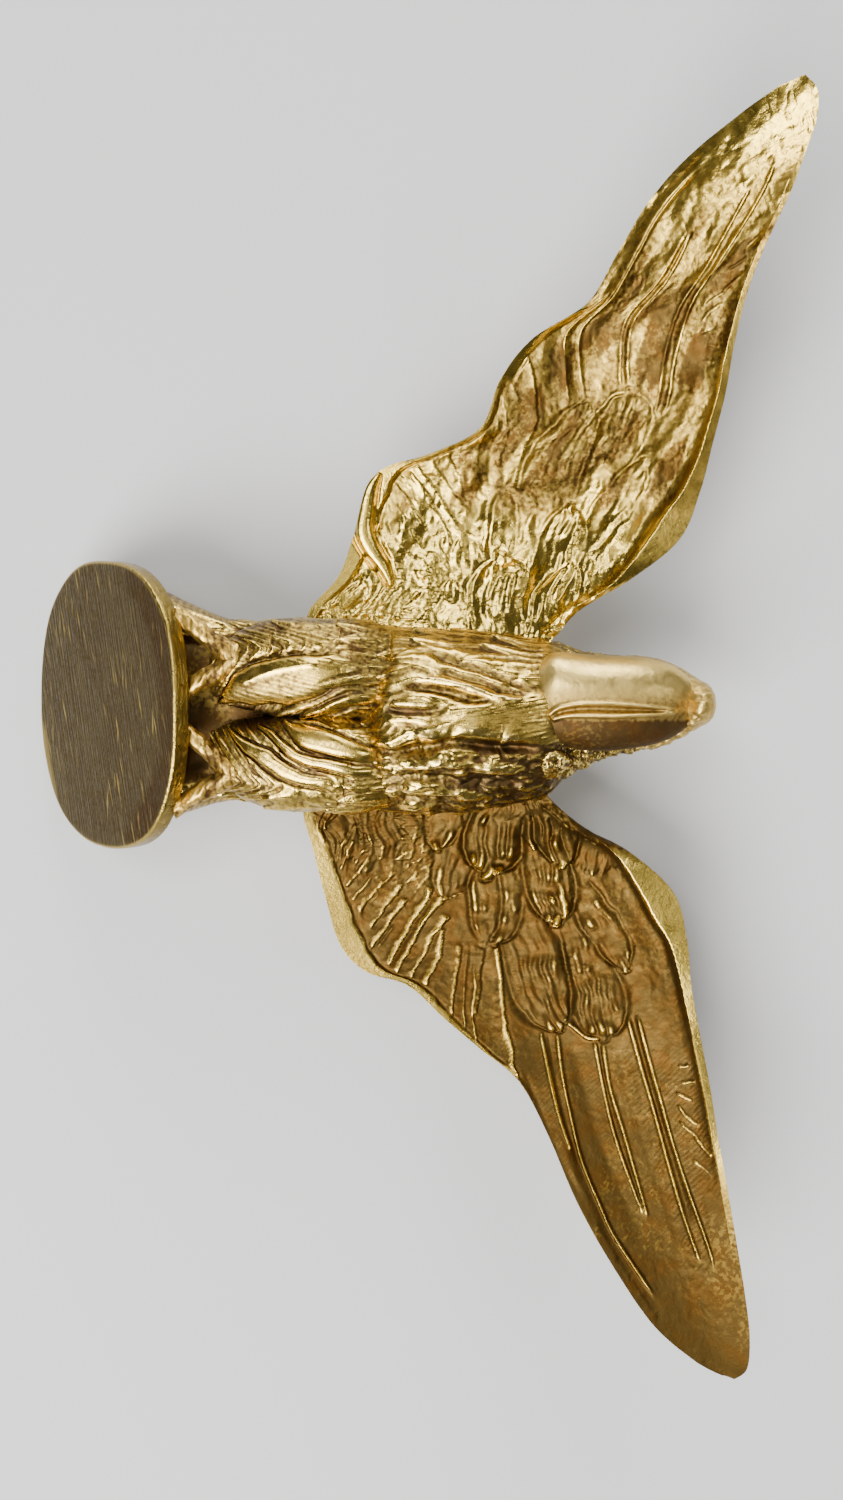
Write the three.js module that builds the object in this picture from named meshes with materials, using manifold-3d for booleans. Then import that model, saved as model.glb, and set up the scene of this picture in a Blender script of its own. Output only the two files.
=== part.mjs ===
// A cast brass car mascot: an eagle leaning forward on a small flat base, with both wings spread.
// Millimetres, +Z up, origin at the middle of the flat underside. The bird looks along -Y.
// The bird is modelled upright in its own frame and then tilted by LEAN. In that frame "along" is
// the way from tail to beak, "belly" is the distance in front of the body's middle plane, and
// "across" is the distance to the bird's left of its middle. The head is turned a little.
import * as THREE from 'three';
import { mergeVertices } from 'three/addons/utils/BufferGeometryUtils.js';
import Module from 'manifold-3d';

const manifold = await Module();
manifold.setup();

// ---------------------------------------------------------------- driving dimensions
const GAP = 0.3;
const LEAN = THREE.MathUtils.degToRad(44);
const BASE = { width: 38, depth: 35, thick: 2.3, bevel: 0.4, squareness: 2.4, sides: 56 };
const SEAT_HEIGHT = BASE.thick + GAP;

// Body sections, each [along, across, half width, belly side, back side].
const TRUNK = {
  squareness: 2.2,
  rows: [[25, 0, 9.5, 3.5, -6], [28, 0.2, 10.6, 5, -7.5], [32, 0.4, 11.2, 7, -8.6], [36, 0.6, 11.4, 10.5, -9.4],
    [39, 0.7, 11.5, 13.6, -9.8], [45, 0.8, 11.4, 14, -10], [52, 0.5, 10.7, 13, -9.4], [58, -0.1, 9.7, 11.4, -8.2]],
};
const TAIL = {
  squareness: 2.6,
  rows: [[-8, 0, 11.5, -4, -12.2], [-3, 0, 14.5, -1, -12], [2, 0, 16.2, 2, -11.5], [6, 0.2, 16, 4, -11],
    [10, 0.4, 14.1, 4.4, -10], [15, 0.6, 12.3, 3.8, -9], [20, 0.5, 11.5, 3.8, -8], [26, 0.2, 11, 3.5, -7.5],
    [29, 0, 9.5, 2.5, -6.5]],
};
const HEAD = {
  squareness: 2.1,
  rows: [[58 + GAP, -0.2, 9.5, 11, -8.2], [60, -0.5, 8.9, 10.2, -8.3], [62, -0.9, 7.7, 9.2, -8.1],
    [64.7, -1.3, 6.8, 8, -7.6], [67.5, -1.7, 6.2, 6.6, -6.6], [70, -2, 5.9, 5.6, -5.4], [72, -2.1, 5, 4, -4]],
};
const LOWER_BEAK = {
  squareness: 2.3,
  rows: [[56.8, -2.6, 4.6, 11, 5], [59, -2.9, 5.8, 12.1, 3.4], [64, -2.5, 6, 12.2, 2.8],
    [69.5, -2.7, 5.7, 11.4, 3], [73.5, -2.8, 4.7, 10, 3.8], [76, -2.8, 3, 8.6, 5]],
};
const UPPER_BEAK = {
  squareness: 2.1,
  rows: [[66, -1.9, 5.4, 3, -4], [69, -2.1, 6.1, 5, -5.4], [72.5, -2.2, 5.8, 6.5, -5.2],
    [75.2, -2.4, 4.6, 8.5, -4], [77.2, -2.6, 3.2, 9.8, -1.5], [78.6, -2.6, 2.3, 9.2, 2],
    [79.2, -2.6, 1.2, 7.8, 4.2]],
};
const THIGH = {
  squareness: 2.5,
  rows: [[15.8, 4.8, 2.2, 8.4, 4.5], [18, 5.3, 3.9, 10.2, 3], [21, 5.8, 5.2, 11.7, 2], [25, 6.1, 5.8, 12.7, 1.5],
    [30, 6.2, 6, 13.2, 1], [34.5, 6.2, 5.9, 12.9, 1.4], [38.5, 6.2, 4.8, 11.3, 3]],
};

// Toes run from the ankle to the front rim of the base: [along, across, belly side] at each end,
// with a radius at each third of the way and a slight forward arch between.
const ANKLE = [19.2, 7.1, 9.4];
const TOE_TIPS = [[11.5, 12.2, 8.1], [12.6, 2.4, 8.7]];
const TOE_RADII = [1.95, 1.5, 1.3, 1.35];
const TOE_ARCH = 0.5;
const TOE_SIDES = 12;

// Wing ribs from root to tip: the across and along positions of the leading and trailing edges.
// The two wings are finished by hand and their trailing edges differ a little.
const LEFT_RIBS = [
  [8, 57, 8.5, 27], [11.2, 60, 13.5, 26.8], [14.2, 64, 18.4, 28.1], [17, 69.6, 25.1, 29.9],
  [22, 75.4, 31.2, 32], [28, 77.3, 34.6, 35.6], [34, 78, 36.2, 41.2], [40, 79.2, 40.3, 46.3],
  [46.2, 80.5, 43.8, 51], [52.2, 81.5, 47.6, 56.2], [58, 82.6, 54, 60.2], [63.8, 83.6, 61, 63.8],
  [69.3, 84.5, 67.6, 68.2], [74, 85, 73.6, 73.2], [77.4, 84.6, 77, 78.2], [78.6, 83, 78.3, 81.4],
];
const RIGHT_RIBS = [
  [8, 57, 8.5, 27], [10.8, 59.4, 13, 27.2], [14, 62.2, 17.5, 30.8], [18, 68.4, 22.5, 32.6],
  [23.1, 74.3, 29.2, 34.4], [29.2, 76.6, 31.8, 37], [35.2, 77.8, 33.6, 42.6], [41.1, 78.9, 36.8, 48.8],
  [46.9, 79.5, 42.6, 51.2], [52.5, 80.5, 47.4, 55], [57.6, 82.1, 51.6, 61.6], [62.2, 84, 57.2, 65],
  [66.6, 85.4, 62.8, 68.4], [70.4, 86.3, 67.6, 73], [73.2, 86, 71.6, 78.4], [74.6, 84.4, 73.8, 82],
];
const WING = {
  ribs: 38,
  chordSteps: 8,
  rootLift: 3.6,
  tipLift: 17.5,
  liftStart: 14,
  span: 79,
  liftPower: 1.8,
  trailDrop: 5,
  camber: 2.6,
  middleThick: 2.4,
  edgeThick: 1.2,
};

// ---------------------------------------------------------------- solids from rings
const power = (value, exponent) => Math.sign(value) * Math.abs(value) ** exponent;
const birdPoint = (along, across, belly) => new THREE.Vector3(across, -belly, along);

// A ring holds its belly side first and its back side in reverse, so point k faces the point
// that is k places from the end. The ring at each end is closed by strips between those pairs.
function stackRings(rings) {
  const count = rings[0].length;
  const index = [];
  const quad = (a, b, c, d) => index.push(a, b, c, a, c, d);
  for (let ring = 0; ring + 1 < rings.length; ring++) {
    for (let k = 0; k < count; k++) {
      const next = (k + 1) % count;
      quad(ring * count + k, ring * count + next, (ring + 1) * count + next, (ring + 1) * count + k);
    }
  }
  const last = (rings.length - 1) * count;
  for (let k = 0; k + 1 < count / 2; k++) {
    const facing = count - 1 - k;
    quad(k, facing, facing - 1, k + 1);
    quad(last + k, last + k + 1, last + facing - 1, last + facing);
  }
  return toSolid(rings.flat(), index);
}

function toSolid(points, index) {
  const geometry = new THREE.BufferGeometry().setFromPoints(points);
  geometry.setIndex(index);
  const merged = mergeVertices(geometry, 1e-5);
  const position = merged.attributes.position;
  let volume = 0;
  const corner = [0, 1, 2].map(() => new THREE.Vector3());
  for (let k = 0; k < merged.index.count; k += 3) {
    corner.forEach((point, c) => point.fromBufferAttribute(position, merged.index.getX(k + c)));
    volume += corner[0].dot(corner[1].clone().cross(corner[2]));
  }
  const triangles = Uint32Array.from(merged.index.array);
  if (volume < 0) {
    for (let k = 0; k < triangles.length; k += 3) {
      [triangles[k + 1], triangles[k + 2]] = [triangles[k + 2], triangles[k + 1]];
    }
  }
  const mesh = new manifold.Mesh({
    numProp: 3,
    vertProperties: Float32Array.from(position.array),
    triVerts: triangles,
  });
  return new manifold.Manifold(mesh);
}

function smoothRows(rows, steps) {
  const columns = rows[0].map((_, column) => rows.map((row) => row[column]));
  const tracks = columns.map((values) => new THREE.SplineCurve(values.map((v, k) => new THREE.Vector2(k, v))));
  return Array.from({ length: steps + 1 }, (_, k) => tracks.map((track) => track.getPoint(k / steps).y));
}

// A rounded body through section rows. "grow" makes it larger all round, "side" mirrors it.
function bodySolid(shape, { grow = 0, side = 1, steps = 15, sides = 24 } = {}) {
  const rows = smoothRows(shape.rows, steps);
  const rings = rows.map(([along, across, halfWidth, bellySide, backSide], k) => {
    const end = k === 0 ? -grow : k === rows.length - 1 ? grow : 0;
    const middle = (bellySide + backSide) / 2;
    const depth = (bellySide - backSide) / 2 + grow;
    return Array.from({ length: sides }, (_, n) => {
      const angle = ((n + 0.5) / sides) * 2 * Math.PI;
      const x = side * across + (halfWidth + grow) * power(Math.cos(angle), 2 / shape.squareness);
      return birdPoint(along + end, x, middle + depth * power(Math.sin(angle), 2 / shape.squareness));
    });
  });
  return stackRings(rings);
}

// A round limb between points, with one radius for each point.
function limbSolid(points, radii, sides) {
  const heading = points.at(-1).clone().sub(points[0]).normalize();
  const right = new THREE.Vector3(0, 1, 0).cross(heading).normalize();
  const up = heading.clone().cross(right);
  const rings = points.map((point, k) => Array.from({ length: sides }, (_, n) => {
    const angle = ((n + 0.5) / sides) * 2 * Math.PI;
    return point.clone()
      .addScaledVector(right, radii[k] * Math.cos(angle))
      .addScaledVector(up, radii[k] * Math.sin(angle));
  }));
  return stackRings(rings);
}

// ---------------------------------------------------------------- wings
function edgeLift(across) {
  const out = Math.max(0, (across - WING.liftStart) / (WING.span - WING.liftStart));
  return WING.rootLift + WING.tipLift * out ** WING.liftPower;
}

function trailDrop(across) {
  const out = THREE.MathUtils.clamp((across - 6) / (WING.span - 6), 0, 1);
  return WING.trailDrop * Math.sin(Math.PI * out ** 0.7);
}

function wingSolid(ribTable, side, grow = 0) {
  const ribs = smoothRows(ribTable, WING.ribs);
  const rings = ribs.map(([leadAcross, leadAlong, trailAcross, trailAlong], k) => {
    const chord = Math.hypot(leadAcross - trailAcross, leadAlong - trailAlong);
    const end = k === 0 ? -grow : k === ribs.length - 1 ? grow : 0;
    const bellySide = [];
    const backSide = [];
    for (let step = 0; step <= WING.chordSteps; step++) {
      const inside = step / WING.chordSteps;
      const v = inside + ((2 * inside - 1) * grow) / chord;
      const across = THREE.MathUtils.lerp(leadAcross, trailAcross, v) + end;
      const along = THREE.MathUtils.lerp(leadAlong, trailAlong, v);
      const bulge = Math.sin(Math.PI * inside);
      const hollow = WING.camber * bulge * Math.min(1, chord / 30);
      const belly = THREE.MathUtils.lerp(edgeLift(leadAcross), edgeLift(trailAcross) - trailDrop(trailAcross), inside)
        - hollow;
      const thick = THREE.MathUtils.lerp(WING.edgeThick, WING.middleThick, bulge);
      bellySide.push(birdPoint(along, side * across, belly + grow));
      backSide.unshift(birdPoint(along, side * across, belly - thick - grow));
    }
    return [...bellySide, ...backSide];
  });
  return stackRings(rings);
}

// ---------------------------------------------------------------- feet
function toeSolid(tip, side, grow) {
  const start = birdPoint(ANKLE[0], side * ANKLE[1], ANKLE[2]);
  const end = birdPoint(tip[0], side * tip[1], tip[2]);
  const points = TOE_RADII.map((_, k) => {
    const part = k / (TOE_RADII.length - 1);
    const point = start.clone().lerp(end, part);
    point.y -= TOE_ARCH * Math.sin(Math.PI * part);
    return point;
  });
  return limbSolid(points, TOE_RADII.map((radius) => radius + grow), TOE_SIDES);
}

function footSolid(side, grow = 0) {
  return TOE_TIPS.map((tip) => toeSolid(tip, side, grow)).reduce((foot, toe) => foot.add(toe));
}

// Everything lower than the seat on the base, as a solid in the bird's frame.
function belowSeat() {
  const box = new THREE.BoxGeometry(120, 120, 60);
  box.translate(0, 0, SEAT_HEIGHT - 30);
  box.rotateX(-LEAN);
  box.deleteAttribute('normal');
  box.deleteAttribute('uv');
  const merged = mergeVertices(box);
  return new manifold.Manifold(new manifold.Mesh({
    numProp: 3,
    vertProperties: Float32Array.from(merged.attributes.position.array),
    triVerts: Uint32Array.from(merged.index.array),
  }));
}

// ---------------------------------------------------------------- base
function baseSolid() {
  const { width, depth, thick, bevel, squareness, sides } = BASE;
  const levels = [[0, bevel], [bevel, 0], [thick - bevel, 0], [thick, bevel]];
  const rings = levels.map(([height, inset]) => Array.from({ length: sides }, (_, n) => {
    const angle = ((n + 0.5) / sides) * 2 * Math.PI;
    const x = (width / 2 - inset) * power(Math.cos(angle), 2 / squareness);
    const y = (depth / 2 - inset) * power(Math.sin(angle), 2 / squareness);
    return new THREE.Vector3(x, y, height);
  }));
  return stackRings(rings);
}

// ---------------------------------------------------------------- assembly
function cut(solid, ...tools) {
  return tools.reduce((rest, tool) => rest.subtract(tool), solid);
}

const BRASS = { roughness: 0.34, metalness: 1 };
const finishes = {
  ground: { ...BRASS, color: 0x7c6c42, roughness: 0.5 },
  cast: { ...BRASS, color: 0xa98a3f },
  polished: { ...BRASS, color: 0xc9a552, roughness: 0.22 },
};

function namedMesh(name, solid, finish) {
  const { vertProperties, triVerts } = solid.getMesh();
  const geometry = new THREE.BufferGeometry();
  geometry.setAttribute('position', new THREE.BufferAttribute(Float32Array.from(vertProperties), 3));
  geometry.setIndex(new THREE.BufferAttribute(Uint32Array.from(triVerts), 1));
  const mesh = new THREE.Mesh(geometry, new THREE.MeshStandardMaterial(finishes[finish]));
  mesh.name = name;
  return mesh;
}

const ornament = new THREE.Group();
const bird = new THREE.Group();
bird.rotation.x = LEAN;
ornament.add(bird);
ornament.add(namedMesh('base_plate', baseSolid(), 'ground'));

const wingSockets = [wingSolid(LEFT_RIBS, 1, GAP), wingSolid(RIGHT_RIBS, -1, GAP)];
const thighSockets = [1, -1].map((side) => bodySolid(THIGH, { side, grow: GAP }));
const ground = belowSeat();

bird.add(namedMesh('left_wing', wingSolid(LEFT_RIBS, 1), 'cast'));
bird.add(namedMesh('right_wing', wingSolid(RIGHT_RIBS, -1), 'cast'));

for (const [name, side] of [['left', 1], ['right', -1]]) {
  const thigh = cut(bodySolid(THIGH, { side }), footSolid(side, GAP), ...wingSockets, ground);
  bird.add(namedMesh(`${name}_thigh`, thigh, 'cast'));
  bird.add(namedMesh(`${name}_foot`, cut(footSolid(side), ground), 'polished'));
}

const tailSocket = bodySolid(TAIL, { grow: GAP });
bird.add(namedMesh('tail', cut(bodySolid(TAIL), ...thighSockets, ...wingSockets, ground), 'cast'));
bird.add(namedMesh('trunk', cut(bodySolid(TRUNK), tailSocket, ...thighSockets, ...wingSockets,
  bodySolid(LOWER_BEAK, { grow: GAP })), 'cast'));
bird.add(namedMesh('head', cut(bodySolid(HEAD), bodySolid(LOWER_BEAK, { grow: GAP }),
  bodySolid(UPPER_BEAK, { grow: GAP }), ...wingSockets), 'cast'));
bird.add(namedMesh('lower_beak', bodySolid(LOWER_BEAK, { steps: 15, sides: 20 }), 'polished'));
bird.add(namedMesh('upper_beak', cut(bodySolid(UPPER_BEAK, { steps: 15, sides: 20 }),
  bodySolid(LOWER_BEAK, { grow: GAP })), 'polished'));

export default ornament;
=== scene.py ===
import math

import bpy
import numpy as np
from mathutils import Matrix, Vector


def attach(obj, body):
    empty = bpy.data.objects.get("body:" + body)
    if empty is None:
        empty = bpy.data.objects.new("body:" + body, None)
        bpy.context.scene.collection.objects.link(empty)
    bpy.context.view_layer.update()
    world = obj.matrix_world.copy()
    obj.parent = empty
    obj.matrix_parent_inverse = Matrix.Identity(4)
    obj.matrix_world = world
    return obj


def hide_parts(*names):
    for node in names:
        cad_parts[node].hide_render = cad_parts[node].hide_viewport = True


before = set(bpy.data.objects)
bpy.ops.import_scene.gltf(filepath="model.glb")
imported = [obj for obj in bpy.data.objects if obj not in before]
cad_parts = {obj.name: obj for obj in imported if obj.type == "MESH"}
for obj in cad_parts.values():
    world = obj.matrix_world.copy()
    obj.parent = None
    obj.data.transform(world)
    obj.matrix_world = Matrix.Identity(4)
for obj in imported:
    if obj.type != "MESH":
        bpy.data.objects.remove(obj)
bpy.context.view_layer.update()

MM = 0.001
LEAN = math.radians(44)

# Body sections, as the CAD pieces have them: along, across, half width, belly side, back side.
TRUNK = [
    [25, 0, 9.5, 3.5, -6], [28, 0.2, 10.6, 5, -7.5], [32, 0.4, 11.2, 7, -8.6],
    [36, 0.6, 11.4, 10.5, -9.4], [39, 0.7, 11.5, 13.6, -9.8], [45, 0.8, 11.4, 14, -10],
    [52, 0.5, 10.7, 13, -9.4], [58, -0.1, 9.7, 11.4, -8.2], [60.5, -0.4, 8.4, 9.6, -7.4]]
TAIL = [
    [-8, 0, 11.5, -4, -12.2], [-3, 0, 14.5, -1, -12], [2, 0, 16.2, 2, -11.5], [6, 0.2, 16, 4, -11],
    [10, 0.4, 14.1, 4.4, -10], [15, 0.6, 12.3, 3.8, -9], [20, 0.5, 11.5, 3.8, -8],
    [26, 0.2, 11, 3.5, -7.5], [31, 0, 9.5, 2.5, -6.5]]
HEAD = [
    [57, -0.1, 9.4, 10.8, -7.6], [58.3, -0.2, 9.5, 11, -8.2], [60, -0.5, 8.9, 10.2, -8.3],
    [62, -0.9, 7.7, 9.2, -8.1], [64.7, -1.3, 6.8, 8, -7.6], [67.5, -1.7, 6.2, 6.6, -6.6],
    [70, -2, 5.9, 5.6, -5.4], [72, -2.1, 5, 4, -4]]
LOWER_BEAK = [
    [56.8, -2.6, 4.6, 11, 5], [59, -2.9, 5.8, 12.1, 3.4], [64, -2.5, 6, 12.2, 2.8],
    [69.5, -2.7, 5.7, 11.4, 3], [73.5, -2.8, 4.7, 10, 3.8], [76, -2.8, 3, 8.6, 5]]
UPPER_BEAK = [
    [66, -1.9, 5.4, 3, -4], [69, -2.1, 6.1, 5, -5.4], [72.5, -2.2, 5.8, 6.5, -5.2],
    [75.2, -2.4, 4.6, 8.5, -4], [77.2, -2.6, 3.2, 9.8, -1.5], [78.6, -2.6, 2.3, 9.2, 2],
    [79.2, -2.6, 1.2, 7.8, 4.2]]
THIGH = [
    [15.8, 4.8, 2.2, 8.4, 4.5], [18, 5.3, 3.9, 10.2, 3], [21, 5.8, 5.2, 11.7, 2],
    [25, 6, 5.9, 12.7, 1.5], [30, 5.9, 6.1, 13.2, 1], [34.5, 6, 6.1, 12.9, 1.4],
    [38.5, 6.2, 4.8, 11.3, 3]]
BODY_RELIEF = 1.6  # most that a body's relief stands out or in
TAIL_FEATHERS = 7
TAIL_FLOOR = 1.6  # the tail's foot stays above this height, inside the base plate

# Ankle and toe tips are along, across and belly. TOE_RADII are at TOE_STEPS of a toe's length.
# SCUTE is the spacing of the rings in its skin.
ANKLE = (19.2, 7.1, 9.4)
TOE_TIPS = ((11.5, 12.2, 8.1), (12.6, 2.4, 8.7))
TOE_STEPS = (0, 0.35, 0.7, 1)
TOE_RADII = (1.95, 1.5, 1.3, 1.35)
TOE_ARCH = 0.5
ANKLE_CAP = [ANKLE[0] + 1.6, ANKLE[1], 1.3, ANKLE[2] + 1.2, ANKLE[2] - 1.2]
SCUTE = 1.05

# Wing ribs from root to tip: across and along of the leading edge, then of the trailing edge.
LEFT_RIBS = [
    [8, 57, 8.5, 27], [11.2, 60, 13.5, 26.8], [14.2, 64, 18.4, 28.1], [17, 69.6, 25.1, 29.9],
    [22, 75.4, 31.2, 32], [28, 77.3, 34.6, 35.6], [34, 78, 36.2, 41.2], [40, 79.2, 40.3, 46.3],
    [46.2, 80.5, 43.8, 51], [52.2, 81.5, 47.6, 56.2], [58, 82.6, 54, 60.2], [63.8, 83.6, 61, 63.8],
    [69.3, 84.5, 67.6, 68.2], [74, 85, 73.6, 73.2], [77.4, 84.6, 77, 78.2], [78.6, 83, 78.3, 81.4]]
RIGHT_RIBS = [
    [8, 57, 8.5, 27], [10.8, 59.4, 13, 27.2], [14, 62.2, 17.5, 30.8], [18, 68.4, 22.5, 32.6],
    [23.1, 74.3, 29.2, 34.4], [29.2, 76.6, 31.8, 37], [35.2, 77.8, 33.6, 42.6], [41.1, 78.9, 36.8, 48.8],
    [46.9, 79.5, 42.6, 51.2], [52.5, 80.5, 47.4, 55], [57.6, 82.1, 51.6, 61.6], [62.2, 84, 57.2, 65],
    [66.6, 85.4, 62.8, 68.4], [70.4, 86.3, 67.6, 73], [73.2, 86, 71.6, 78.4], [74.6, 84.4, 73.8, 82]]
ROOT_LIFT = 3.6
TIP_LIFT = 17.5
LIFT_START = 14
SPAN = 79
LIFT_POWER = 1.8
TRAIL_DROP = 5
TRAIL_START = 6
CAMBER = 2.6
FULL_CAMBER_CHORD = 30
MIDDLE_THICK = 2.4
EDGE_THICK = 1.2
LEAST_THICK = 0.7
RELIEF_SINK = 0.5  # how far the underside is sunk before its relief is added
BACK_SINK = 0.3
WING_STEPS = (560, 220)  # along the span and across it
WING_LENGTH = 82
EDGE_SLANT = 0.97  # distance to an edge over that along the chord
FAN_CENTRE = (13.5, 50.5)  # where the root's feathers fan out from

BASE_WIDTH = 38
BASE_DEPTH = 35
BASE_THICK = 2.3
BASE_BEVEL = 0.4
BASE_SQUARENESS = 2.4


# ------ small maths
def smooth_rows(rows, steps):
    """Rows read along a uniform Catmull-Rom spline, as many as steps + 1."""
    rows = np.asarray(rows, float)
    place = np.linspace(0, len(rows) - 1, steps + 1)
    k = np.minimum(place.astype(int), len(rows) - 2)
    w = (place - k)[:, None]
    p0 = rows[np.maximum(k - 1, 0)]
    p1 = rows[k]
    p2 = rows[k + 1]
    p3 = rows[np.minimum(k + 2, len(rows) - 1)]
    v0 = (p2 - p0) / 2
    v1 = (p3 - p1) / 2
    return (2 * p1 - 2 * p2 + v0 + v1) * w**3 + (-3 * p1 + 3 * p2 - 2 * v0 - v1) * w**2 + v0 * w + p1


def signed_power(value, exponent):
    return np.sign(value) * np.abs(value) ** exponent


def smoothstep(value, low, high):
    t = np.clip((value - low) / (high - low), 0, 1)
    return t * t * (3 - 2 * t)


def bell(value, width):
    """1 where value is 0, falling off smoothly on both sides."""
    return np.exp(-((value / width) ** 2))


def dome(r):
    """A half circle, 1 high in the middle and 0 where r is 1 or more."""
    return np.sqrt(np.clip(1 - r**2, 0, 1))


def blended(first, second, share):
    """first where share is 0, and second where it is 1."""
    return first * (1 - share) + second * share


def value_noise(x, y, seed):
    """Smooth noise from -1 to 1 with cells one unit wide."""
    table = np.random.RandomState(seed).uniform(-1, 1, (64, 64))
    xi = np.floor(x).astype(int)
    yi = np.floor(y).astype(int)
    fx = smoothstep(x - xi, 0, 1)
    fy = smoothstep(y - yi, 0, 1)
    a = table[xi % 64, yi % 64]
    b = table[(xi + 1) % 64, yi % 64]
    c = table[xi % 64, (yi + 1) % 64]
    d = table[(xi + 1) % 64, (yi + 1) % 64]
    return blended(blended(a, b, fx), blended(c, d, fx), fy)


def rough_noise(x, y, size, seed, octaves=3):
    """Several layers of value noise, each twice as fine as the one before and half as strong."""
    total = 0
    for octave in range(octaves):
        scale = 2**octave / size
        layer = value_noise(x * scale + 7.3 * octave, y * scale + 3.1 * octave, seed + octave)
        total += layer / 2**octave
    return total


def locks(across, along, length, width, seed, lines=0.12):
    """Staggered pointed locks of feathers that run towards lower along, 0 to 1 high."""
    draw = np.random.RandomState(seed)
    phase = draw.uniform(0, 1, 64)
    tall = draw.uniform(0.45, 1, (64, 64))
    best = np.zeros_like(across + along)
    column = np.floor(across / width).astype(int)
    for shift in (-1, 0, 1):
        k = column + shift
        q = across / width - (k + 0.5)
        v = -along / length + phase[k % 64]
        cell = np.floor(v).astype(int)
        t = v - cell
        reach = 1.02 * (1 - t**2.6) + 0.05
        r = np.clip(np.abs(q) / reach, 0, 1)
        round_top = (1 - r**2) ** 0.75
        grooves = lines * np.cos(q / reach * 3 * np.pi)
        best = np.maximum(best, tall[k % 64, cell % 64] * (0.3 + 0.7 * t) * round_top + grooves * round_top)
    return best


def strands(across, along, width, length, seed):
    """Fine combed lines, -1 to 1, that wander and fade along their length."""
    drift = value_noise(across / width / 3, along / length, seed)
    lines = np.cos((across / width + 0.5 * drift) * 2 * np.pi)
    return lines * (0.6 + 0.4 * value_noise(across / width / 1.3, along / length * 1.5, seed + 1))


def to_row(across, belly, along):
    """Bird frame in millimetres to the row frame in metres."""
    y = -belly * math.cos(LEAN) - along * math.sin(LEAN)
    z = -belly * math.sin(LEAN) + along * math.cos(LEAN)
    return np.stack([across, y, z], -1) * MM


def stroke_field(x, y, points):
    """Distance to a smooth line, side (positive on its right), way along it (0 to 1), and values.

    Each point is x, y and then any values, which are read off along the line."""
    line = smooth_rows(points, 8 * (len(points) - 1)) if len(points) > 2 else np.asarray(points, float)
    best = np.full(x.shape, 1e9)
    side = np.zeros(x.shape)
    where = np.zeros(x.shape)
    for k in range(len(line) - 1):
        step = line[k + 1, :2] - line[k, :2]
        length = max(np.hypot(*step), 1e-6)
        step = step / length
        px = x - line[k, 0]
        py = y - line[k, 1]
        t = np.clip(px * step[0] + py * step[1], 0, length)
        distance = np.hypot(px - t * step[0], py - t * step[1])
        nearer = distance < best
        best = np.where(nearer, distance, best)
        side = np.where(nearer, px * step[1] - py * step[0], side)
        where = np.where(nearer, k + t / length, where)
    values = [np.interp(where, np.arange(len(line)), line[:, c]) for c in range(2, line.shape[1])]
    return best, side, where / (len(line) - 1), values


def ends_fade(where, start, end):
    """1 along a line, falling to 0 at its two ends."""
    return smoothstep(where, -0.001, start) * smoothstep(1 - where, -0.001, end)


def ridge(x, y, points, width, lift, ends=0.12):
    """A rounded ridge, or with a negative lift a groove, along a line, fading at its ends."""
    distance, _, where, _ = stroke_field(x, y, points)
    return lift * ends_fade(where, ends, ends) * bell(distance, width)


def feather(height, x, y, points, lift, fold=1.25):
    """Lays a feather on a height map: a leaf shape with a raised rim and folds along it.

    Each point of its middle line carries the half width there. fold is the width of one fold."""
    distance, side, where, (half,) = stroke_field(x, y, points)
    r = distance / np.maximum(half, 0.05)
    edge = smoothstep(1 - r, 0, 0.14)
    uneven = 0.75 + 0.9 * value_noise(x / 1.5, y / 1.5, 61)
    wander = 0.4 * value_noise(x / 2.4, y / 2.4, 62)
    folds = np.abs(np.cos((np.sign(side) * distance / fold + wander) * np.pi)) ** 0.6
    form = 0.15 + 0.12 * (1 - r**2) + 0.8 * folds * uneven * smoothstep(1 - r, 0.05, 0.3)
    form = form + (0.15 + 0.3 * where) * uneven * bell(r - 0.88, 0.09)
    top = lift * (0.4 + 0.6 * where) * form * edge
    blend = smoothstep(where, 0, 0.15)
    laid = blended(height, np.maximum(top, height * 0.35), blend)
    sunk = height - 0.5 * lift * blend * bell(r - 1.12, 0.14) * (r < 1.6)
    return np.where(r < 1, laid, sunk)


def lobe(height, x, y, points, lift, crease):
    """Lays a smooth bulging lobe on a height map, with a crease round it."""
    distance, _, where, (half,) = stroke_field(x, y, points)
    r = distance / np.maximum(half, 0.05)
    blend = smoothstep(where, 0, 0.3)
    laid = blended(height, np.maximum(lift * dome(r), height * 0.3), blend)
    sunk = height - crease * blend * bell(r - 1.1, 0.2) * (r < 1.8)
    return np.where(r < 1, laid, sunk)


# ------ meshes
def add_object(name, data):
    thing = bpy.data.objects.new(name, data)
    bpy.context.scene.collection.objects.link(thing)
    return thing


def mesh_object(name, points, faces, relief, polish):
    """A smooth mesh whose points carry relief (0 hollow, 1 ridge, lowered where shade is painted) and polish
    (0 cast, 1 bright, raised where sheen is painted).
    """
    mesh = bpy.data.meshes.new(name)
    faces = np.asarray(faces, np.int32)
    mesh.vertices.add(len(points))
    mesh.vertices.foreach_set("co", np.asarray(points, np.float32).ravel())
    mesh.loops.add(faces.size)
    mesh.loops.foreach_set("vertex_index", faces.ravel())
    mesh.polygons.add(len(faces))
    mesh.polygons.foreach_set("loop_start", np.arange(0, faces.size, 4, dtype=np.int32))
    mesh.update(calc_edges=True)
    mesh.validate()
    for label, values in (("relief", relief), ("polish", polish)):
        attribute = mesh.attributes.new(label, "FLOAT", "POINT")
        attribute.data.foreach_set("value", np.asarray(values, np.float32).ravel())
    mesh.polygons.foreach_set("use_smooth", np.ones(len(mesh.polygons), bool))
    return add_object(name, mesh)


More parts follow.
